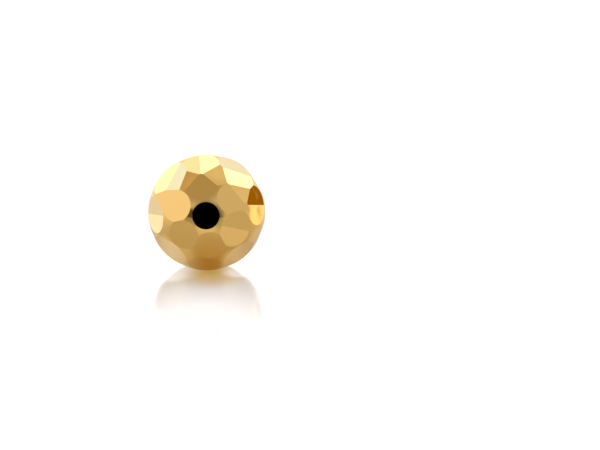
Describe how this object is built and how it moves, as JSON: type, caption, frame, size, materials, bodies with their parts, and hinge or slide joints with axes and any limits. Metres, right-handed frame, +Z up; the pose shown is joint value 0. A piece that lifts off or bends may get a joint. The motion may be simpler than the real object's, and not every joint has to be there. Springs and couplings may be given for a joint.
{
  "type": "ball stud earring",
  "caption": "Ball stud earring: a polished gold ball cut with flat round facets, soldered to a straight plain post with a chamfered tip.",
  "frame": {"origin": "middle of the flat facet that the ball rests on, on the surface", "axes": "+Z up, -Y to the front of the ball, +Y back along the post, +X to the right of someone who faces the front"},
  "size_m": [0.005, 0.0149, 0.0049],
  "materials": {
    "gold": "polished yellow gold"
  },
  "bodies": {
    "root": {"stud": "gold"}
  },
  "joints": []
}
